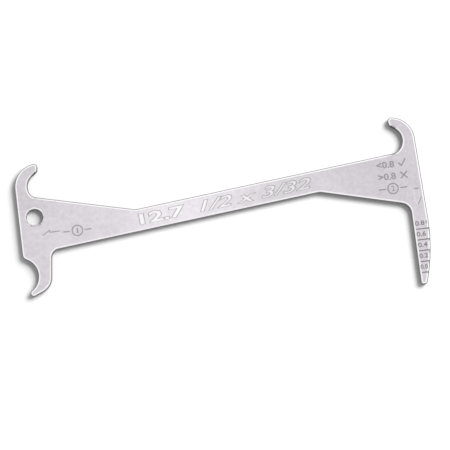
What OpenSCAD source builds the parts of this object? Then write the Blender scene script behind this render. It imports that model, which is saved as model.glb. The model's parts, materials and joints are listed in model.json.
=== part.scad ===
// Chain wear gauge, blanked in one piece from sheet steel. It lies flat on its underside.
// +X runs from the claw end to the measuring leg and +Y towards the hooks. The origin is the
// middle of the underside's outline box. Positions below are counted from the centre of the
// hanging hole. All sizes are in millimetres.

/* [Plate] */
// Thickness of the sheet, thin enough to pass between the inner plates of a link
plate_t = 2; // [1.6:0.1:2.4]
// Width of the 45 degree break along the edges of both faces
edge_break = 0.5; // [0.15:0.05:0.6]

/* [Hanging hole] */
// Diameter of the hanging hole
hole_d = 4; // [3:0.1:5]
// Width of the countersink round the hole, on both faces
hole_break = 0.4; // [0.2:0.05:0.6]
// Distance from the centre of the hole to the straight edge beside it
hole_edge = 4; // [3.7:0.1:4.5]

/* [Bar] */
// Width of the slim bar between the two wide ends
bar_w = 5.5; // [4:0.1:7]
// Angle of the bar to the row of rollers that it spans
bar_tilt = 5.2; // [3:0.1:7]
// How far below the hole's centre the lower edge of the bar would cross it
bar_drop = 8.85; // [8:0.05:9.5]
// Distance from the hole to the waist at which the upper edge of the bar starts
claw_waist_x = 24.4; // [20:0.2:32]
// Distance from the hole to the waist at which the lower edge of the bar ends
leg_waist_x = 69.2; // [60:0.2:74]
// Angle at which the upper edge falls from the claw end's hook to its waist
claw_flare = 14.2; // [11:0.1:16]
// Angle at which the lower edge falls from its waist to the measuring leg
leg_flare = 14.9; // [11:0.1:16]
// Radius in both waists
waist_r = 3; // [1:0.5:6]

/* [Claw] */
// Diameter of the chain roller that the claw bears on
roller_d = 7.75; // [7.4:0.05:8]
// Clearance between the roller and the throat of the claw
claw_clearance = 0.5; // [0.35:0.05:0.7]
// How far the roller's centre lies outside the hole's centre
claw_out = 5.1; // [4.9:0.1:5.5]
// How far the roller's centre lies below the hole's centre
claw_drop = 14; // [13.5:0.1:14.5]
// Radius of the corner between the straight edge and the throat
claw_corner_r = 1.4; // [0.8:0.1:1.8]
// How far the throat wraps below the level of the roller's centre, in degrees
foot_wrap = 57; // [50:1:62]
// Slope of the underside of the foot
foot_slope = 22.5; // [18:0.5:26]
// Radius of the rounded tip of the foot
foot_tip_r = 0.8; // [0.6:0.05:0.9]
// Radius of the heel between the foot and the nose
heel_r = 4; // [3:0.25:5]
// Distance from the hole to the outer edge of the nose, where the nose leaves the bar
nose_x = 3.2; // [2.8:0.1:4]
// Lean of the outer edge of the nose
nose_lean = 6.6; // [5:0.2:9]
// Radius between the nose and the bar
nose_root_r = 2; // [1:0.1:3]

/* [Hooks] */
// Radius of the throat of both hooks
throat_r = 3.42; // [3:0.05:3.8]
// Width of both hooks beside the throat
hook_w = 3.1; // [2.7:0.05:3.5]
// How far the centre of the back lies behind the centre of the throat
hook_back_shift = 0.8; // [0.6:0.05:1]
// Height of the throat's centre above the hole on the claw side
claw_hook_y = 7.4; // [6.9:0.1:8]
// Height of the throat's centre above the hole on the leg side
leg_hook_y = 7.9; // [7.3:0.1:8.4]
// Distance between the centres of the two throats
hook_span = 84.8; // [84:0.1:86]
// Slope of the straight lip inside the tip of a hook
lip_slope = 37; // [30:1:42]
// Length of that lip
lip_len = 1.75; // [1.4:0.05:2]
// Width of the wider break that dresses the lip
lip_break = 0.7; // [0.35:0.05:0.85]
// Lean of the end face of the tip
tip_lean = 10; // [5:1:15]
// Radius of the outer corner of the tip
tip_r = 0.9; // [0.75:0.05:1]
// Radius of the inner corner of the tip, which the edge break rounds to its own width at least
lip_r = 0.55; // [0.2:0.05:0.7]
// Radius that blends a throat into the edge below it
throat_blend_r = 2; // [1:0.25:2.5]

/* [Measuring leg] */
// Width of the leg where it is widest
leg_w = 3.85; // [3.6:0.05:4.4]
// Depth of the leg's tip below the hole
leg_drop = 27.9; // [27:0.1:28]
// Radius between the leg and the wide end above it
leg_root_r = 2.6; // [1:0.1:3]
// Lean of the outer edge above the taper
leg_lean = 1.5; // [1:0.1:3.5]
// Depth below the hole at which the outer edge starts to taper
taper_drop = 12; // [11:0.5:13]
// Width that the taper leaves at the leg's tip, before its corners are rounded
leg_tip_w = 1.45; // [1.4:0.05:2.2]
// Radius of both corners of the leg's tip
leg_tip_r = 0.6; // [0.45:0.05:0.65]

/* [Scale] */
// Depth of the uppermost graduation line below the hole
scale_drop = 14.5; // [14:0.1:15]
// Distance from one graduation line to the next
scale_pitch = 2.65; // [2.2:0.01:2.7]
// Number of graduation lines
scale_lines = 5; // [3:1:5]
// Width of a graduation line
scale_line_w = 0.28; // [0.2:0.02:0.4]
// Depth to which the graduation lines are stamped
scale_line_depth = 0.15; // [0.08:0.01:0.25]
// Margin between the inner edge of the leg and the graduation lines
scale_margin = 0.55; // [0.45:0.05:0.8]

/* [Hidden] */
steel = "gainsboro";

// Largest turn between two neighbouring points of a curved edge, in degrees
arc_step = 5;
// Largest distance between two neighbouring points of a curved edge
arc_chord = 2;
// Sides of the rounded shapes, a multiple of the turns of the curved edges
round_sides = 72;
// How far cutting shapes run past the surfaces that they cut
overrun = 0.1;
// Points closer together than this are one point
same_point = 0.005;

function direction(angle) = [cos(angle), sin(angle)];
function left_of(v) = [-v[1], v[0]];
function bearing(v) = (atan2(v[1], v[0]) + 360) % 360;

// Points of an arc from angle a0 to angle a1
function arc(centre, r, a0, a1) =
    let (turn = abs(a1 - a0),
         steps = max(1, ceil(turn / arc_step), ceil(turn * PI / 180 * r / arc_chord)))
    [for (i = [0:steps]) centre + r * direction(a0 + (a1 - a0) * i / steps)];

// Where a line through p meets a line through q, each with its heading
function crossing(p, heading_p, q, heading_q) =
    let (n = left_of(direction(heading_q)), d = direction(heading_p))
    p + d * ((q - p) * n) / (d * n);

// Arc of radius r that rounds a corner, from the heading before it to the heading after it
function fillet(corner, before, after, r) =
    let (turn = after - before,
         side = sign(turn),
         start = corner - direction(before) * r * tan(abs(turn) / 2),
         centre = start + side * r * left_of(direction(before)))
    arc(centre, r, before - side * 90, after - side * 90);

// Point at distance r from c on a line through p, the first on its heading or the last
function reach(p, heading, c, r, last) =
    let (d = direction(heading),
         nearest = p + d * ((c - p) * d),
         half_chord = sqrt(r * r - (nearest - c) * (nearest - c)))
    nearest + d * (last ? half_chord : -half_chord);

// A hook that opens towards +X, with its throat centred at [0, 0]. It starts on the edge below
// it, which passes through edge_point and rises leftwards at edge_slope, and runs through the
// throat, along the lip and round the tip to the angle back_end of its back.
function hook(edge_point, edge_slope, back_end) =
    let (heading = 180 - edge_slope,
         inward = left_of(direction(heading)),
         blend = reach(edge_point - throat_blend_r * inward, heading,
                       [0, 0], throat_r - throat_blend_r, true),
         end_heading = 90 - tip_lean,
         back = [-hook_back_shift, 0],
         tip = reach(lip_corner + tip_r * left_of(direction(end_heading)), end_heading,
                     back, hook_back_r - tip_r, true),
         tip_end = bearing(tip - back))
    concat(
        arc(blend, throat_blend_r, heading + 90, bearing(blend)),
        arc([0, 0], throat_r, bearing(blend), 90 + lip_slope),
        fillet(lip_corner, lip_slope, end_heading, lip_r),
        arc(tip, tip_r, end_heading - 90, tip_end),
        arc(back, hook_back_r, tip_end, back_end));

function moved(points, v) = [for (p = points) p + v];

// The same shape facing -X, with its points in the opposite order so that it still runs
// anticlockwise
function facing_left(points) =
    [for (i = [len(points) - 1:-1:0]) [-points[i][0], points[i][1]]];

// The points without those that repeat the one before them
function distinct(points) =
    [for (i = [0:len(points) - 1])
        if (norm(points[i] - points[(i + len(points) - 1) % len(points)]) > same_point)
            points[i]];

// Bar: a point of each of its edges, and its two waists
bar_low = [0, -bar_drop];
bar_high = bar_low + bar_w * left_of(direction(bar_tilt));
leg_waist = crossing(bar_low, bar_tilt, [leg_waist_x, 0], 90);
claw_waist = crossing(bar_high, bar_tilt, [claw_waist_x, 0], 90);

// Hooks: the radius of their backs, the corner at the end of the lip, seen from the throat's
// centre, and the centres of both throats
hook_back_r = throat_r + hook_w - hook_back_shift;
lip_corner = throat_r * direction(90 + lip_slope) + lip_len * direction(lip_slope);
claw_hook = [throat_r + hook_w - hole_edge, claw_hook_y];
leg_hook = [claw_hook[0] + hook_span, leg_hook_y];

// Claw: its throat, the corner beside it, the tip of the foot, and the headings of the nose
claw = [-claw_out, -claw_drop];
claw_r = roller_d / 2 + claw_clearance;
claw_corner = reach([claw_corner_r - hole_edge, 0], -90, claw, claw_r + claw_corner_r, false);
foot_tip = claw + (claw_r + foot_tip_r) * direction(-foot_wrap);
foot_low = foot_tip - foot_tip_r * left_of(direction(foot_slope));
nose = [nose_x, -bar_drop];
nose_heading = 90 - nose_lean;

// Leg: the point where its outer edge starts to taper, and the centres of its curves
leg_back = leg_hook + [hook_back_shift, 0] + hook_back_r * direction(leg_lean);
taper_start = crossing(leg_back, 90 + leg_lean, [0, -taper_drop], 0);
leg_x = taper_start[0] - leg_w;
taper_chord = [leg_x + leg_tip_w, -leg_drop] - taper_start;
taper_r = -(taper_chord * taper_chord) / (2 * taper_chord * direction(leg_lean));
taper = taper_start - taper_r * direction(leg_lean);
leg_tip = reach([0, leg_tip_r - leg_drop], 0, taper, taper_r - leg_tip_r, true);

// The outline of the plate, anticlockwise from the corner beside the claw
outline = distinct(concat(
    arc(claw_corner, claw_corner_r, 180, bearing(claw - claw_corner)),
    arc(claw, claw_r, bearing(claw_corner - claw), -foot_wrap),
    arc(foot_tip, foot_tip_r, 180 - foot_wrap, foot_slope + 270),
    fillet(crossing(foot_low, foot_slope, nose, nose_heading), foot_slope, nose_heading, heel_r),
    fillet(crossing(nose, nose_heading, bar_low, bar_tilt), nose_heading, bar_tilt, nose_root_r),
    fillet(leg_waist, bar_tilt, -leg_flare, waist_r),
    fillet(crossing(leg_waist, -leg_flare, [leg_x, 0], -90), -leg_flare, -90, leg_root_r),
    fillet([leg_x, -leg_drop], -90, 0, leg_tip_r),
    arc(leg_tip, leg_tip_r, -90, bearing(leg_tip - taper) - 360),
    arc(taper, taper_r, bearing(leg_tip - taper) - 360, leg_lean),
    moved(facing_left(hook([leg_hook[0] - claw_waist[0], claw_waist[1] - leg_hook[1]],
                           bar_tilt, 180 - leg_lean)), leg_hook),
    fillet(claw_waist, 180 + bar_tilt, 180 - claw_flare, waist_r),
    moved(hook(claw_waist - claw_hook, claw_flare, 180), claw_hook)));

// Middle of the outline's box, seen from the centre of the hole
xs = [for (p = outline) p[0]];
ys = [for (p = outline) p[1]];
middle = [min(xs) + max(xs), min(ys) + max(ys)] / 2;

// The cross-section of the edge break, turned into a solid: two flat cones, base to base
module edge_tool() {
    for (side = [0, 1])
        mirror([0, 0, side])
        cylinder(h = edge_break, r1 = edge_break, r2 = 0, $fn = round_sides);
}

// The sheet cut to its outline, with the break along the edges of both faces
module blank() {
    minkowski() {
        translate([0, 0, edge_break])
            linear_extrude(plate_t - 2 * edge_break)
            offset(delta = -edge_break)
            polygon(outline);
        edge_tool();
    }
}

module hanging_hole() {
    translate([0, 0, -overrun])
        cylinder(h = plate_t + 2 * overrun, d = hole_d, $fn = round_sides);
}

module hole_countersink() {
    translate([0, 0, plate_t - hole_break])
        cylinder(h = hole_break + overrun, r1 = hole_d / 2,
                 r2 = hole_d / 2 + hole_break + overrun, $fn = round_sides);
}

// Wide break that dresses the lip of a hook, whose throat is centred at [0, 0]
module lip_dressing() {
    translate([lip_corner[0], lip_corner[1], plate_t])
        rotate(lip_slope)
        translate([-lip_len, 0, -lip_break])
        rotate([-45, 0, 0])
        translate([0, -lip_break, 0])
        cube([lip_len - lip_r, 2 * lip_break, lip_break]);
}

// Shallow lines across the measuring leg, from a margin at its inner edge to its outer edge
module graduations() {
    for (i = [0:scale_lines - 1])
        translate([leg_x + scale_margin,
                   -scale_drop - i * scale_pitch - scale_line_w / 2,
                   plate_t - scale_line_depth])
            cube([leg_w, scale_line_w, scale_line_depth + overrun]);
}

// What is cut off the upper face, and off the lower one as well
module face_cuts() {
    hole_countersink();
    translate(claw_hook) lip_dressing();
    translate(leg_hook) mirror([1, 0, 0]) lip_dressing();
}

module gauge_plate() {
    color(steel)
    translate(-middle)
    difference() {
        blank();
        face_cuts();
        translate([0, 0, plate_t]) mirror([0, 0, 1]) face_cuts();
        hanging_hole();
        graduations();
    }
}

gauge_plate();
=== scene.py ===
import json
import logging
import math
from collections.abc import Sequence
from dataclasses import dataclass, field
from enum import Enum

import bpy
from mathutils import Matrix, Vector

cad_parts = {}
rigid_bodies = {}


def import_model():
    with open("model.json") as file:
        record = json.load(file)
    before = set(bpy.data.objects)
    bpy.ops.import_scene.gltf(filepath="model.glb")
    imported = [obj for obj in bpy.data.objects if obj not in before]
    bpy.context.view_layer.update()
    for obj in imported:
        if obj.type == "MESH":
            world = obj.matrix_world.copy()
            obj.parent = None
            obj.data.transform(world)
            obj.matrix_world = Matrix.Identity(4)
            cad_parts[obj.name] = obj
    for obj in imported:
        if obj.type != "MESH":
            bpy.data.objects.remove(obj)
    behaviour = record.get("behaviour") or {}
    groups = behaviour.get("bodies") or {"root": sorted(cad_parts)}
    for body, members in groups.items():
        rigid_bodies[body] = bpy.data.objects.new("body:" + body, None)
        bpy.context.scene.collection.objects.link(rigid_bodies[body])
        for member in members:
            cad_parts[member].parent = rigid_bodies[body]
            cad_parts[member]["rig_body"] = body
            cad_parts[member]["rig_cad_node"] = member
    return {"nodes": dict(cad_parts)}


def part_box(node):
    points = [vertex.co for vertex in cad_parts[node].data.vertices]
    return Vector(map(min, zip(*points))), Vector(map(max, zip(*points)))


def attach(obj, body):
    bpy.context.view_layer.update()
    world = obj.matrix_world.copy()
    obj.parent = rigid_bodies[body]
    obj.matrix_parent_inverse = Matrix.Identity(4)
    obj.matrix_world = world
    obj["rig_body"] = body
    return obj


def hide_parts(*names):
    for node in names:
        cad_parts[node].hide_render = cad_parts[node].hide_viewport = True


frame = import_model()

logging.basicConfig(level=logging.INFO, format="%(message)s")
log = logging.getLogger("gauge")

Point = tuple[float, float]
Triple = tuple[float, float, float]

MM = 0.001
PLATE_NODE = "gauge_plate"
BODY = "root"
# Lowest corner of the plate's outline, seen from the centre of the hanging hole, in mm
OUTLINE_CORNER: Point = (-4.0, -27.9)
# Vertices closer than this are one, in metres
MERGE_DISTANCE = 1e-7
SENSOR_WIDTH = 36.0


def hole_centre() -> Vector:
    """Finds the centre of the hanging hole in the row frame.

    Returns:
        The point in metres, at the height of the plate's upper face.
    """
    low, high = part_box(PLATE_NODE)
    return Vector((low.x - OUTLINE_CORNER[0] * MM, low.y - OUTLINE_CORNER[1] * MM, high.z))


def deselect() -> None:
    """Leaves edit mode and clears the selection."""
    if bpy.context.object and bpy.context.object.mode != "OBJECT":
        bpy.ops.object.mode_set(mode="OBJECT")
    bpy.ops.object.select_all(action="DESELECT")


def select_only(*objs: bpy.types.Object) -> None:
    """Selects these objects and makes the first one active.

    Args:
        objs: The objects to select.
    """
    deselect()
    for o in objs:
        o.select_set(True)
    bpy.context.view_layer.objects.active = objs[0]


def settle(obj: bpy.types.Object) -> None:
    """Moves an object's place, turn and size into its mesh.

    Args:
        obj: The object to settle at the origin.
    """
    select_only(obj)
    bpy.ops.object.transform_apply(location=True, rotation=True, scale=True)


def close_mesh(obj: bpy.types.Object, flat_angle: float = 0.0) -> None:
    """Merges the vertices that coincide and turns the faces outwards.

    Args:
        obj: The object whose mesh is closed.
        flat_angle: Faces that meet at less than this angle, in degrees, become one face.
    """
    select_only(obj)
    bpy.ops.object.mode_set(mode="EDIT")
    bpy.ops.mesh.select_all(action="SELECT")
    bpy.ops.mesh.remove_doubles(threshold=MERGE_DISTANCE)
    if flat_angle:
        bpy.ops.mesh.dissolve_limited(angle_limit=math.radians(flat_angle))
    bpy.ops.mesh.normals_make_consistent(inside=False)
    bpy.ops.object.mode_set(mode="OBJECT")


def add_node(tree: bpy.types.NodeTree, kind: str, **values: object) -> bpy.types.Node:
    """Adds a node and sets its properties and unlinked inputs.

    Args:
        tree: The node tree that gets the node.
        kind: The node's type name.
        values: Properties by name, or inputs by name with a leading "in_" and a "_" for
            each space.

    Returns:
        The new node.
    """
    node = tree.nodes.new(kind)
    for key, value in values.items():
        if key.startswith("in_"):
            node.inputs[key[3:].replace("_", " ")].default_value = value
        else:
            setattr(node, key, value)
    return node


def new_group(name: str, output: str, **inputs: object) -> bpy.types.NodeTree:
    """Makes a node group with an input "Vector", further inputs and one value as output.

    Args:
        name: The group's name.
        output: Name of its output.
        inputs: Default values of the further inputs by name. A tuple makes a vector input.

    Returns:
        The group, without nodes.
    """
    group = bpy.data.node_groups.new(name, "ShaderNodeTree")
    sockets = group.interface
    sockets.new_socket(name="Vector", in_out="INPUT", socket_type="NodeSocketVector")
    for key, value in inputs.items():
        kind = "NodeSocketVector" if isinstance(value, tuple) else "NodeSocketFloat"
        made = sockets.new_socket(name=key, in_out="INPUT", socket_type=kind)
        made.default_value = value
    sockets.new_socket(name=output, in_out="OUTPUT", socket_type="NodeSocketFloat")
    return group


def grain_group() -> bpy.types.NodeTree:
    """Builds the grain that all steel surfaces share: stretched noise and fine pits.

    Returns:
        The node group, with output Grain (0 to 1).
    """
    name = "steel_grain"
    if name in bpy.data.node_groups:
        return bpy.data.node_groups[name]
    g = new_group(name, "Grain", Stretch=(900.0, 900.0, 900.0), Pits=0.35)
    into = add_node(g, "NodeGroupInput")
    out = add_node(g, "NodeGroupOutput")
    stretch = add_node(g, "ShaderNodeVectorMath", operation="MULTIPLY")
    grain = add_node(g, "ShaderNodeTexNoise", in_Scale=1.0, in_Detail=4.0, in_Roughness=0.6)
    pits = add_node(g, "ShaderNodeTexNoise", in_Scale=1500.0, in_Detail=3.0, in_Roughness=0.6)
    mix = add_node(g, "ShaderNodeMix", data_type="FLOAT")
    g.links.new(into.outputs["Vector"], stretch.inputs[0])
    g.links.new(into.outputs["Stretch"], stretch.inputs[1])
    g.links.new(stretch.outputs[0], grain.inputs["Vector"])
    g.links.new(into.outputs["Vector"], pits.inputs["Vector"])
    g.links.new(into.outputs["Pits"], mix.inputs["Factor"])
    g.links.new(grain.outputs[0], mix.inputs["A"])
    g.links.new(pits.outputs[0], mix.inputs["B"])
    g.links.new(mix.outputs["Result"], out.inputs["Grain"])
    return g


def painted_edge_shade_group() -> bpy.types.NodeTree:
    """Builds the mask of a painted shade line along the outer side of the plate's broken edges.

    The line covers all that is nearer to the plate's middle height than Start, and fades
    out towards End.

    Returns:
        The node group, with output Line (0 to 1).
    """
    name = "arris_line"
    if name in bpy.data.node_groups:
        return bpy.data.node_groups[name]
    g = new_group(name, "Line", Middle=0.001, Start=0.00062, End=0.00074)
    into = add_node(g, "NodeGroupInput")
    out = add_node(g, "NodeGroupOutput")
    parts = add_node(g, "ShaderNodeSeparateXYZ")
    rise = add_node(g, "ShaderNodeMath", operation="SUBTRACT")
    side = add_node(g, "ShaderNodeMath", operation="ABSOLUTE")
    fade = add_node(g, "ShaderNodeMapRange", interpolation_type="SMOOTHSTEP", in_To_Min=1.0,
                    in_To_Max=0.0)
    g.links.new(into.outputs["Vector"], parts.inputs[0])
    g.links.new(parts.outputs["Z"], rise.inputs[0])
    g.links.new(into.outputs["Middle"], rise.inputs[1])
    g.links.new(rise.outputs[0], side.inputs[0])
    g.links.new(side.outputs[0], fade.inputs["Value"])
    g.links.new(into.outputs["Start"], fade.inputs["From Min"])
    g.links.new(into.outputs["End"], fade.inputs["From Max"])
    g.links.new(fade.outputs[0], out.inputs["Line"])
    return g


def handling_group() -> bpy.types.NodeTree:
    """Builds the slow change of tone that handling and plating leave on steel.

    Returns:
        The node group, with output Tone (0 to 1).
    """
    name = "handling_tone"
    if name in bpy.data.node_groups:
        return bpy.data.node_groups[name]
    g = new_group(name, "Tone", Scale=60.0)
    into = add_node(g, "NodeGroupInput")
    out = add_node(g, "NodeGroupOutput")
    clouds = add_node(g, "ShaderNodeTexNoise", in_Detail=3.0, in_Roughness=0.55)
    spread = add_node(g, "ShaderNodeMapRange", in_From_Min=0.3, in_From_Max=0.7)
    g.links.new(into.outputs["Vector"], clouds.inputs["Vector"])
    g.links.new(into.outputs["Scale"], clouds.inputs["Scale"])
    g.links.new(clouds.outputs[0], spread.inputs["Value"])
    g.links.new(spread.outputs[0], out.inputs["Tone"])
    return g


@dataclass(frozen=True)
class SteelFinish:
    """One finish of the plate's steel.

    Its colour lies between dark and light, and its roughness between smooth and rough. Both
    follow the same mix of grain and slow tone. A finish with painted shade darkens towards a
    painted shade colour along the outer side of a broken edge.
    """

    name: str
    dark: Triple
    light: Triple
    smooth: float
    rough: float
    stretch: Triple = (900.0, 900.0, 900.0)
    pits: float = 0.35
    tone_scale: float = 60.0
    tone_share: float = 0.2
    bump: float = 0.05
    bump_distance: float = 0.0001
    metallic: float = 1.0
    # Strength and colour of the painted shade line along the outer side of a broken edge
    painted_edge_shade: float = 0.0
    painted_edge_shade_colour: Triple = (0.16, 0.155, 0.16)

    def build(self) -> bpy.types.Material:
        """Makes the material.

        Returns:
            The material, which reads object coordinates.
        """
        mat = bpy.data.materials.new(self.name)
        mat.use_nodes = True
        t = mat.node_tree
        t.nodes.clear()
        place = add_node(t, "ShaderNodeTexCoord")
        grain = add_node(t, "ShaderNodeGroup", node_tree=grain_group(), in_Pits=self.pits,
                         in_Stretch=self.stretch)
        tone = add_node(t, "ShaderNodeGroup", node_tree=handling_group(),
                        in_Scale=self.tone_scale)
        both = add_node(t, "ShaderNodeMix", data_type="FLOAT", in_Factor=self.tone_share)
        colour = add_node(t, "ShaderNodeMix", data_type="RGBA")
        colour.inputs["A"].default_value = (*self.dark, 1.0)
        colour.inputs["B"].default_value = (*self.light, 1.0)
        rough = add_node(t, "ShaderNodeMapRange", in_To_Min=self.smooth, in_To_Max=self.rough)
        bump = add_node(t, "ShaderNodeBump", in_Strength=self.bump,
                        in_Distance=self.bump_distance)
        shader = add_node(t, "ShaderNodeBsdfPrincipled", in_Metallic=self.metallic)
        out = add_node(t, "ShaderNodeOutputMaterial")
        t.links.new(place.outputs["Object"], grain.inputs["Vector"])
        t.links.new(place.outputs["Object"], tone.inputs["Vector"])
        t.links.new(grain.outputs["Grain"], both.inputs["A"])
        t.links.new(tone.outputs["Tone"], both.inputs["B"])
        t.links.new(both.outputs["Result"], colour.inputs["Factor"])
        t.links.new(both.outputs["Result"], rough.inputs["Value"])
        if self.painted_edge_shade:
            # Painted shade: the colour darkens towards a dark line along the outer side of the
            # break
            line = add_node(t, "ShaderNodeGroup", node_tree=painted_edge_shade_group())
            reach = add_node(t, "ShaderNodeMath", operation="MULTIPLY")
            reach.inputs[1].default_value = self.painted_edge_shade
            darker = add_node(t, "ShaderNodeMix", data_type="RGBA")
            darker.inputs["B"].default_value = (*self.painted_edge_shade_colour, 1.0)
            t.links.new(place.outputs["Object"], line.inputs["Vector"])
            t.links.new(line.outputs["Line"], reach.inputs[0])
            t.links.new(reach.outputs[0], darker.inputs["Factor"])
            t.links.new(colour.outputs["Result"], darker.inputs["A"])
            t.links.new(darker.outputs["Result"], shader.inputs["Base Color"])
        else:
            t.links.new(colour.outputs["Result"], shader.inputs["Base Color"])
        t.links.new(rough.outputs[0], shader.inputs["Roughness"])
        t.links.new(grain.outputs["Grain"], bump.inputs["Height"])
        t.links.new(bump.outputs[0], shader.inputs["Normal"])
        t.links.new(shader.outputs[0], out.inputs["Surface"])
        return mat


@dataclass(frozen=True)
class PaperFinish:
    """The plain matt paper of the studio's floor."""

    name: str = "floor_paper"
    tone: float = 0.4
    rough: float = 0.9

    def build(self) -> bpy.types.Material:
        """Makes the material.

        Returns:
            The material, which has no shine.
        """
        mat = bpy.data.materials.new(self.name)
        mat.use_nodes = True
        shader = mat.node_tree.nodes["Principled BSDF"]
        shader.inputs["Base Color"].default_value = (self.tone, self.tone, self.tone, 1.0)
        shader.inputs["Roughness"].default_value = self.rough
        shader.inputs["Specular IOR Level"].default_value = 0.0
        return mat


class Surface(Enum):
    """The kinds of surface that the plate has."""

    FACE = "upper and lower face"
    BREAK = "broken edge and countersink"
    WALL = "blanked wall"
    # Thin marks are grey recesses; the same finish also paints shade on the arrows' dark sides
    MARK = "recess of a thin mark"
    # The sides of the sunk figures are darkened as painted shade
    SLOPE = "side of the sunk figures"
    # Light floor of the sunk figures; on the arrows this finish is a painted highlight
    FLOOR = "floor of the sunk figures and bright side of an arrow"
    SCALE = "recess of the scale's lines and numbers"


FINISHES: dict[Surface, SteelFinish] = {
    Surface.FACE: SteelFinish(
        "satin_face", dark=(0.48, 0.456, 0.485), light=(0.93, 0.884, 0.937),
        smooth=0.30, rough=0.44, bump=0.08),
    # The broken edge carries the painted shade line along its outer side
    Surface.BREAK: SteelFinish(
        "broken_edge", dark=(0.90, 0.88, 0.90), light=(1.0, 0.98, 1.0),
        smooth=0.22, rough=0.36, bump=0.03, painted_edge_shade=1.0),
    Surface.WALL: SteelFinish(
        "blanked_wall", dark=(0.16, 0.155, 0.16), light=(0.36, 0.35, 0.36),
        smooth=0.35, rough=0.6, stretch=(1800.0, 1800.0, 300.0), bump=0.15),
    # Grey of the thin stamped marks, also used as painted shade on the arrows
    Surface.MARK: SteelFinish(
        "stamped_recess_and_painted_shade", dark=(0.32, 0.31, 0.32), light=(0.50, 0.49, 0.50),
        smooth=0.4, rough=0.6, bump=0.1),
    # Painted shade on the sides of the sunk figures
    Surface.SLOPE: SteelFinish(
        "stamped_slope_painted_shade", dark=(0.36, 0.35, 0.36), light=(0.56, 0.55, 0.56),
        smooth=0.3, rough=0.5, bump=0.1),
    Surface.SCALE: SteelFinish(
        "stamped_scale", dark=(0.23, 0.225, 0.23), light=(0.38, 0.37, 0.38),
        smooth=0.4, rough=0.6, bump=0.1),
    # Light floor of the sunk figures, also used as painted highlight on the arrows
    Surface.FLOOR: SteelFinish(
        "stamped_floor_and_painted_highlight", dark=(0.72, 0.70, 0.72), light=(0.95, 0.93, 0.95),
        smooth=0.3, rough=0.45),
}


@dataclass(frozen=True)
class Stroke:
    """A straight stamped stroke between two points, in mm from the hole's centre."""

    start: Point
    end: Point
    width: float


@dataclass(frozen=True)
class Legend:
    """Stamped characters that fill a box, in mm from the hole's centre.

    A legend with a slope has sides at 45 degrees and is as deep as the slope is wide.
    """

    words: str
    centre: Point
    size: Point
    turn: float = 0.0
    weight: float = 0.0
    slant: float = 0.0
    slope: float = 0.0


@dataclass(frozen=True)
class Arrow:
    """The outline of a block arrow: some sides in painted shade, some in painted highlight.

    Places are in mm from the hole's centre and the heading in degrees. Head and shaft are
    each given as length and half width. A part is the first corner that its line runs
    through and the one after the last.
    """

    tip: Point
    heading: float
    head: Point
    shaft: Point
    painted_shade_parts: tuple[tuple[int, int], ...]
    painted_highlight_parts: tuple[tuple[int, int], ...]
    painted_shade_width: float
    painted_highlight_width: float

    def corners(self) -> list[Point]:
        """Finds the corners of the outline.

        Returns:
            The points in order, from the tip round to the tip, in mm from the hole's centre.
        """
        c, s = math.cos(math.radians(self.heading)), math.sin(math.radians(self.heading))
        neck, end = -self.head[0], -self.head[0] - self.shaft[0]
        shape = [(0, 0), (neck, self.head[1]), (neck, self.shaft[1]), (end, self.shaft[1]),
                 (end, -self.shaft[1]), (neck, -self.shaft[1]), (neck, -self.head[1]), (0, 0)]
        return [(self.tip[0] + c * x - s * y, self.tip[1] + s * x + c * y) for x, y in shape]


@dataclass(frozen=True)
class RingedNumber:
    """A number in a ring between two dashes, in mm from the hole's centre."""

    number: str
    centre: Point
    number_width: float
    number_height: float = 1.3
    radius: float = 1.25
    ring_width: float = 0.26
    dash_start: float = 1.9
    dash_end: float = 3.3
    dash_width: float = 0.28


@dataclass(frozen=True)
class Scale:
    """The numbers and lines on the measuring leg, in mm from the hole's centre.

    Each row is a number, the X of its middle and its width.
    """

    rows: tuple[tuple[str, float, float], ...] = (
        ("0.8", 92.15, 2.25), ("0.6", 92.17, 2.25), ("0.4", 92.17, 2.25), ("0.2", 92.03, 2.1),
        ("0.0", 91.8, 1.75))
    row_pitch: float = 2.65
    first_number_y: float = -13.1
    number_height: float = 1.15
    number_weight: float = 0.02
    first_line_y: float = -14.5
    line_width: float = 0.28
    first_tick: Stroke = Stroke((93.75, -12.7), (93.75, -13.2), 0.28)


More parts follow.
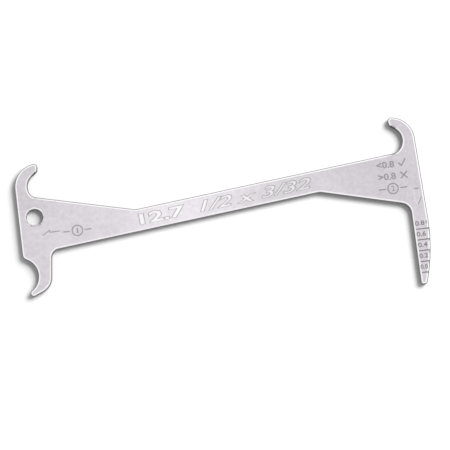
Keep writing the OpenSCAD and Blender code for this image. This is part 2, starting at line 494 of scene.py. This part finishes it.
@dataclass
class MarkCutter:
    """Solids that sink the marks into the upper face. Its sizes are in mm."""

    depth: float
    above: float = 0.1
    ring_steps: int = 32
    letter_steps: int = 4
    parts: list[bpy.types.Object] = field(default_factory=list)

    def block(self, middle: Vector, size: Triple, turn: Triple) -> None:
        """Adds a block.

        Args:
            middle: Its middle, in metres in the row frame.
            size: Its three sides before the turn, in mm.
            turn: Its turn about X, Y and Z, in radians.
        """
        deselect()
        bpy.ops.mesh.primitive_cube_add(size=1.0, location=middle)
        o = bpy.context.object
        o.scale = tuple(side * MM for side in size)
        o.rotation_euler = turn
        settle(o)
        self.parts.append(o)

    def stroke(self, s: Stroke) -> None:
        """Adds a straight stroke with square ends.

        Args:
            s: The stroke.
        """
        a, b = Vector(s.start), Vector(s.end)
        middle, run = (a + b) / 2, b - a
        at = hole_centre() + Vector((middle.x, middle.y, 0.0)) * MM
        at.z += (self.above - self.depth) / 2 * MM
        self.block(at, (run.length + s.width, s.width, self.depth + self.above),
                   (0.0, 0.0, math.atan2(run.y, run.x)))

    def path(self, points: Sequence[Point], width: float) -> None:
        """Adds a run of strokes through points.

        Args:
            points: The points in order.
            width: Width of the strokes.
        """
        for a, b in zip(points, points[1:]):
            self.stroke(Stroke(a, b, width))

    def ring(self, centre: Point, radius: float, width: float) -> None:
        """Adds a ring.

        Args:
            centre: Its centre.
            radius: Radius of its middle line.
            width: Width of its line.
        """
        angles = [math.tau * i / self.ring_steps for i in range(self.ring_steps + 1)]
        self.path([(centre[0] + radius * math.cos(angle), centre[1] + radius * math.sin(angle))
                   for angle in angles], width)

    def ringed_number(self, mark: RingedNumber) -> None:
        """Adds a number with its ring and its two dashes.

        Args:
            mark: The ringed number.
        """
        x, y = mark.centre
        self.ring(mark.centre, mark.radius, mark.ring_width)
        self.legend(Legend(mark.number, mark.centre, (mark.number_width, mark.number_height)))
        for side in (-1, 1):
            self.path([(x + side * mark.dash_start, y), (x + side * mark.dash_end, y)],
                      mark.dash_width)

    def legend(self, text: Legend) -> None:
        """Adds characters, stretched to fill their box.

        Args:
            text: The characters and their box.
        """
        deselect()
        bpy.ops.object.text_add()
        o = bpy.context.object
        o.data.body = text.words
        o.data.shear = text.slant
        o.data.resolution_u = self.letter_steps
        bpy.context.view_layer.update()
        unit = text.size[1] / o.dimensions.y
        depth = text.slope or self.depth
        # The bevel makes the sloping sides, and the offset keeps the outline at the face
        o.data.bevel_depth = text.slope / unit
        o.data.bevel_resolution = 0
        o.data.offset = text.weight - text.slope / unit
        o.data.extrude = (self.above if text.slope else (depth + self.above) / 2) / unit
        bpy.ops.object.convert(target="MESH")
        o = bpy.context.object
        xs = [v.co.x for v in o.data.vertices]
        ys = [v.co.y for v in o.data.vertices]
        zs = [v.co.z for v in o.data.vertices]
        bottom = Vector(((min(xs) + max(xs)) / 2, (min(ys) + max(ys)) / 2, min(zs)))
        stretch = (text.size[0] * MM / (max(xs) - min(xs)),
                   text.size[1] * MM / (max(ys) - min(ys)), unit * MM)
        at = hole_centre() + Vector((*text.centre, -depth)) * MM
        o.matrix_world = (Matrix.Translation(at)
                          @ Matrix.Rotation(math.radians(text.turn), 4, "Z")
                          @ Matrix.Diagonal((*stretch, 1.0))
                          @ Matrix.Translation(-bottom))
        settle(o)
        close_mesh(o)
        self.parts.append(o)

    def down_slope(self, edge: float, y: float, run: float, width: float) -> None:
        """Adds a stroke that runs down the break along the outer edge of the leg.

        Args:
            edge: X of the outer edge, in metres in the row frame.
            y: How far the stroke lies above the hole's centre, in mm.
            run: Width of the break in mm.
            width: Width of the stroke in mm.
        """
        middle = hole_centre() + Vector((0.0, y, -run / 2)) * MM
        middle.x = edge - run / 2 * MM
        self.block(middle, (run * math.sqrt(2), width, 2 * self.above),
                   (0.0, math.radians(45.0), 0.0))

    def joined(self, material: bpy.types.Material) -> bpy.types.Object:
        """Joins the cutting solids.

        Args:
            material: Material of the recesses that they leave.

        Returns:
            The joined cutter.
        """
        for o in self.parts:
            o.data.materials.clear()
            o.data.materials.append(material)
        select_only(*self.parts)
        bpy.ops.object.join()
        cutter = bpy.context.object
        cutter.name = "mark_cutter"
        return cutter


@dataclass
class GaugePlate:
    """The gauge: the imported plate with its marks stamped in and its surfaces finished.

    Places are in mm from the hole's centre, among them beyond_leg, an X outside the plate.
    Depths are in mm below the upper face and angles in degrees. A group of sunk figures is
    its characters, the X of its middle, its width, slant and weight. A face is level when
    the upright part of its normal is over face_normal, and a wall when it isn't over
    wall_normal.
    """

    mark_depth: float = 0.12
    line_depth: float = 0.15
    depth_tolerance: float = 0.01
    edge_break: float = 0.5
    good_verdict: Legend = Legend("<0.8", (85.8, 2.07), (4.3, 1.65), weight=0.02)
    worn_verdict: Legend = Legend(">0.8", (85.85, -0.87), (4.3, 1.65), weight=0.02)
    tick_sign: tuple[Point, ...] = ((89.1, 2.1), (89.7, 1.45), (90.7, 3.0))
    cross_sign: tuple[tuple[Point, Point], ...] = (
        ((89.25, -1.58), (90.68, -0.16)), ((89.25, -0.16), (90.68, -1.58)))
    sign_width: float = 0.3
    steps: tuple[RingedNumber, ...] = (
        RingedNumber("1", (9.9, -4.5), 0.3), RingedNumber("2", (86.9, -3.9), 0.8))
    # Each arrow: painted shade on some sides, painted highlight on others
    arrows: tuple[Arrow, ...] = (
        Arrow((1.5, -4.65), 180.0, head=(1.7, 1.0), shaft=(2.35, 0.54),
              painted_shade_parts=((4, 8),), painted_highlight_parts=((0, 5),), painted_shade_width=0.2, painted_highlight_width=0.2),
        Arrow((92.5, -8.43), 270.0, head=(1.7, 0.9), shaft=(2.16, 0.55),
              painted_shade_parts=((0, 2), (3, 5)), painted_highlight_parts=((1, 4), (4, 8)), painted_shade_width=0.2,
              painted_highlight_width=0.28))
    scale: Scale = Scale()
    beyond_leg: float = 120.0
    figure_groups: tuple[tuple[str, float, float, float, float], ...] = (
        ("12.7", 30.7, 11.6, 0.0, 0.055), ("1/2 x 3/32", 53.6, 28.0, 0.3, 0.035))
    figure_height: float = 2.9
    figure_slope: float = 0.14
    figure_drop: float = 2.72
    bar_edge_y: float = -3.344
    bar_edge_rise: float = 0.0914
    bar_turn: float = 5.22
    flat_angle: float = 0.3
    face_normal: float = 0.95
    wall_normal: float = 0.35
    smooth_angle: float = 28.0

    def build(self) -> bpy.types.Object:
        """Copies the plate's solid and closes its mesh.

        Returns:
            The copy.
        """
        source = frame["nodes"][PLATE_NODE]
        select_only(source)
        bpy.ops.object.duplicate()
        plate = bpy.context.object
        plate.name = "finished_plate"
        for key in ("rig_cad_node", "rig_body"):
            if key in plate:
                del plate[key]
        plate.parent = None
        plate.data.materials.clear()
        close_mesh(plate, self.flat_angle)
        settle(plate)
        return plate

    def thin_marks(self, recess: bpy.types.Material) -> bpy.types.Object:
        """Lays out the verdicts, the numbers of the steps and the arrows' sides in painted shade.

        Args:
            recess: Material of the recesses.

        Returns:
            The solid that cuts them.
        """
        m = MarkCutter(self.mark_depth)
        m.legend(self.good_verdict)
        m.path(self.tick_sign, self.sign_width)
        m.legend(self.worn_verdict)
        for line in self.cross_sign:
            m.path(line, self.sign_width)
        for step in self.steps:
            m.ringed_number(step)
        # The arrows' sides in painted shade
        for arrow in self.arrows:
            for first, stop in arrow.painted_shade_parts:
                m.path(arrow.corners()[first:stop], arrow.painted_shade_width)
        return m.joined(recess)

    def sunk_figures(self, slope: bpy.types.Material) -> bpy.types.Object:
        """Lays out the large sunk figures along the bar.

        Args:
            slope: Material of their sides, darkened as painted shade.

        Returns:
            The solid that cuts them.
        """
        m = MarkCutter(self.figure_slope)
        for words, x, width, slant, weight in self.figure_groups:
            y = self.bar_edge_y + self.bar_edge_rise * x - self.figure_drop
            m.legend(Legend(words, (x, y), (width, self.figure_height), turn=self.bar_turn,
                            weight=weight, slant=slant, slope=self.figure_slope))
        return m.joined(slope)

    def painted_highlight_sides(self, bright: bpy.types.Material) -> bpy.types.Object:
        """Lays out the arrows' sides in painted highlight.

        Args:
            bright: Material of their recesses, which paints the highlight.

        Returns:
            The solid that cuts them.
        """
        m = MarkCutter(self.mark_depth)
        # The arrows' sides in painted highlight
        for arrow in self.arrows:
            for first, stop in arrow.painted_highlight_parts:
                m.path(arrow.corners()[first:stop], arrow.painted_highlight_width)
        return m.joined(bright)

    def scale_marks(self, plate: bpy.types.Object, recess: bpy.types.Material) -> bpy.types.Object:
        """Lays out the scale's numbers, the tick beside the first and the lines' outer ends.

        Args:
            plate: The plate, whose outer edge the lines reach.
            recess: Material of the recesses.

        Returns:
            The solid that cuts them.
        """
        m = MarkCutter(self.mark_depth)
        m.stroke(self.scale.first_tick)
        half_thickness = hole_centre().z / 2 / MM
        for i, (number, x, width) in enumerate(self.scale.rows):
            down = self.scale.row_pitch * i
            m.legend(Legend(number, (x, self.scale.first_number_y - down),
                            (width, self.scale.number_height), weight=self.scale.number_weight))
            line_y = self.scale.first_line_y - down
            start = hole_centre() + Vector((self.beyond_leg, line_y, -half_thickness)) * MM
            hit, wall, _, _ = plate.ray_cast(start, Vector((-1.0, 0.0, 0.0)))
            if hit:
                m.down_slope(wall.x, line_y, self.edge_break, self.scale.line_width)
        return m.joined(recess)

    def stamp(self, plate: bpy.types.Object, made: dict[Surface, bpy.types.Material]) -> None:
        """Sinks all marks into the plate.

        Args:
            plate: The closed copy of the plate.
            made: The material of each kind of surface.
        """
        cutters = (self.thin_marks(made[Surface.MARK]), self.sunk_figures(made[Surface.SLOPE]),
                   self.painted_highlight_sides(made[Surface.FLOOR]),
                   self.scale_marks(plate, made[Surface.SCALE]))
        for cutter in cutters:
            cut = plate.modifiers.new("stamp", "BOOLEAN")
            cut.operation = "DIFFERENCE"
            cut.object = cutter
            cut.solver = "EXACT"
            cut.use_self = True
            cut.material_mode = "TRANSFER"
            select_only(plate)
            bpy.ops.object.modifier_apply(modifier=cut.name)
            bpy.data.objects.remove(cutter)

    def kind_of(self, cut: Surface, up: float, sunk: float) -> Surface:
        """Tells which kind of surface a face of the stamped plate is.

        Args:
            cut: The kind that the face has from its cutter, or FACE where none has cut.
            up: How level the face is, from 0 for a wall to 1 for a level face.
            sunk: How deep its centre lies below the upper face, in mm.

        Returns:
            The kind of surface.
        """
        level = up > self.face_normal
        # Sunk figures: their level floors stay light, their sides carry the painted shade
        if cut is Surface.SLOPE:
            return Surface.FLOOR if level else Surface.SLOPE
        # Arrows' bright strokes: the level floor is a painted highlight, the walls painted shade
        if cut is Surface.FLOOR:
            return Surface.FLOOR if level else Surface.MARK
        if cut in (Surface.MARK, Surface.SCALE):
            return cut
        if level:
            in_line = abs(sunk - self.line_depth) < self.depth_tolerance
            return Surface.SCALE if in_line else Surface.FACE
        return Surface.BREAK if up > self.wall_normal else Surface.WALL

    def finish_faces(self, plate: bpy.types.Object,
                     made: dict[Surface, bpy.types.Material]) -> None:
        """Gives each face its finish, and smooth shading where the plate is curved.

        Args:
            plate: The stamped plate.
            made: The material of each kind of surface.
        """
        names = [m.name for m in plate.data.materials]
        slots = {s: names.index(made[s].name) for s in Surface}
        kinds = {slot: s for s, slot in slots.items()}
        top = hole_centre().z
        for face in plate.data.polygons:
            kind = self.kind_of(kinds[face.material_index], abs(face.normal.z),
                                (top - face.center.z) / MM)
            face.material_index = slots[kind]
        select_only(plate)
        bpy.ops.object.shade_smooth_by_angle(angle=math.radians(self.smooth_angle))
        for face in plate.data.polygons:
            if abs(face.normal.z) > self.face_normal:
                face.use_smooth = False

    def dress(self, plate: bpy.types.Object) -> None:
        """Stamps the marks and gives each surface its finish.

        Args:
            plate: The closed copy of the plate.
        """
        made = {s: f.build() for s, f in FINISHES.items()}
        for s in (Surface.FACE, Surface.BREAK, Surface.WALL):
            plate.data.materials.append(made[s])
        self.stamp(plate, made)
        self.finish_faces(plate, made)
        settle(plate)
        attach(plate, BODY)
        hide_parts(PLATE_NODE)
        log.info("%s: %d faces", plate.name, len(plate.data.polygons))


@dataclass(frozen=True)
class SoftLamp:
    """A square soft lamp that faces the origin. Its place and side are in metres."""

    name: str
    place: Triple
    side: float
    watts: float

    def build(self) -> bpy.types.Object:
        """Hangs the lamp.

        Returns:
            The lamp.
        """
        deselect()
        bpy.ops.object.light_add(type="AREA", location=self.place)
        o = bpy.context.object
        o.name = self.name
        o.data.size = self.side
        o.data.energy = self.watts
        o.rotation_euler = (-Vector(self.place)).to_track_quat("-Z", "Y").to_euler()
        return o


@dataclass
class Studio:
    """Floor, light and camera.

    The camera's target, distance and image width are in mm, the target from the hole's
    centre, its angles in degrees, and the other lengths in metres.
    """

    camera_target: Point = (45.42, -7.66)
    camera_distance: float = 600.0
    camera_tilt: float = 8.5
    image_turn: float = 7.2
    image_width: float = 108.7
    clip_start: float = 0.01
    clip_end: float = 10.0
    floor_size: float = 3.0
    floor_gap: float = 0.00002
    floor_finish: PaperFinish = PaperFinish()
    surround: float = 0.93
    mirror_lamp: SoftLamp = SoftLamp("mirror", (-0.007, 0.015, 0.1), 0.02, 0.0024)
    key_lamp: SoftLamp = SoftLamp("key", (0.85, 0.48, 1.0), 0.9, 58.0)

    def floor(self) -> None:
        """Makes the plain floor, just below the plate's underside."""
        deselect()
        bpy.ops.mesh.primitive_plane_add(size=self.floor_size, location=(0.0, 0.0, -self.floor_gap))
        o = bpy.context.object
        o.name = "floor"
        o.data.materials.append(self.floor_finish.build())

    def light(self) -> None:
        """Sets the even surround, the lamp that only mirrors and the lamp that only lights."""
        world = bpy.data.worlds.new("studio")
        bpy.context.scene.world = world
        world.use_nodes = True
        background = world.node_tree.nodes["Background"]
        background.inputs["Color"].default_value = (1.0, 1.0, 1.0, 1.0)
        background.inputs["Strength"].default_value = self.surround
        mirror = self.mirror_lamp.build()
        mirror.visible_diffuse = False
        mirror.visible_camera = False
        key = self.key_lamp.build()
        key.visible_glossy = False

    def camera(self) -> None:
        """Places the camera at the photograph's viewing angle."""
        turn, tilt = math.radians(self.image_turn), math.radians(self.camera_tilt)
        right = Vector((math.cos(turn), -math.sin(turn), 0.0))
        up_flat = Vector((math.sin(turn), math.cos(turn), 0.0))
        back = Vector((0, 0, math.cos(tilt))) - up_flat * math.sin(tilt)
        up = back.cross(right)
        target = hole_centre() + Vector((*self.camera_target, 0.0)) * MM
        place = Matrix.Translation(target + back * self.camera_distance * MM)
        deselect()
        bpy.ops.object.camera_add()
        cam = bpy.context.object
        cam.matrix_world = place @ Matrix((right, up, back)).transposed().to_4x4()
        cam.data.sensor_width = SENSOR_WIDTH
        cam.data.lens = SENSOR_WIDTH * self.camera_distance / self.image_width
        cam.data.clip_start = self.clip_start
        cam.data.clip_end = self.clip_end
        bpy.context.scene.camera = cam

    def build(self) -> None:
        """Builds the floor, the light and the camera."""
        self.floor()
        self.light()
        self.camera()
        bpy.context.scene.view_settings.view_transform = "Standard"


def main() -> None:
    """Builds the gauge and its studio."""
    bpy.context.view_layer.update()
    plate = GaugePlate()
    plate.dress(plate.build())
    Studio().build()


if __name__ == "__main__":
    main()
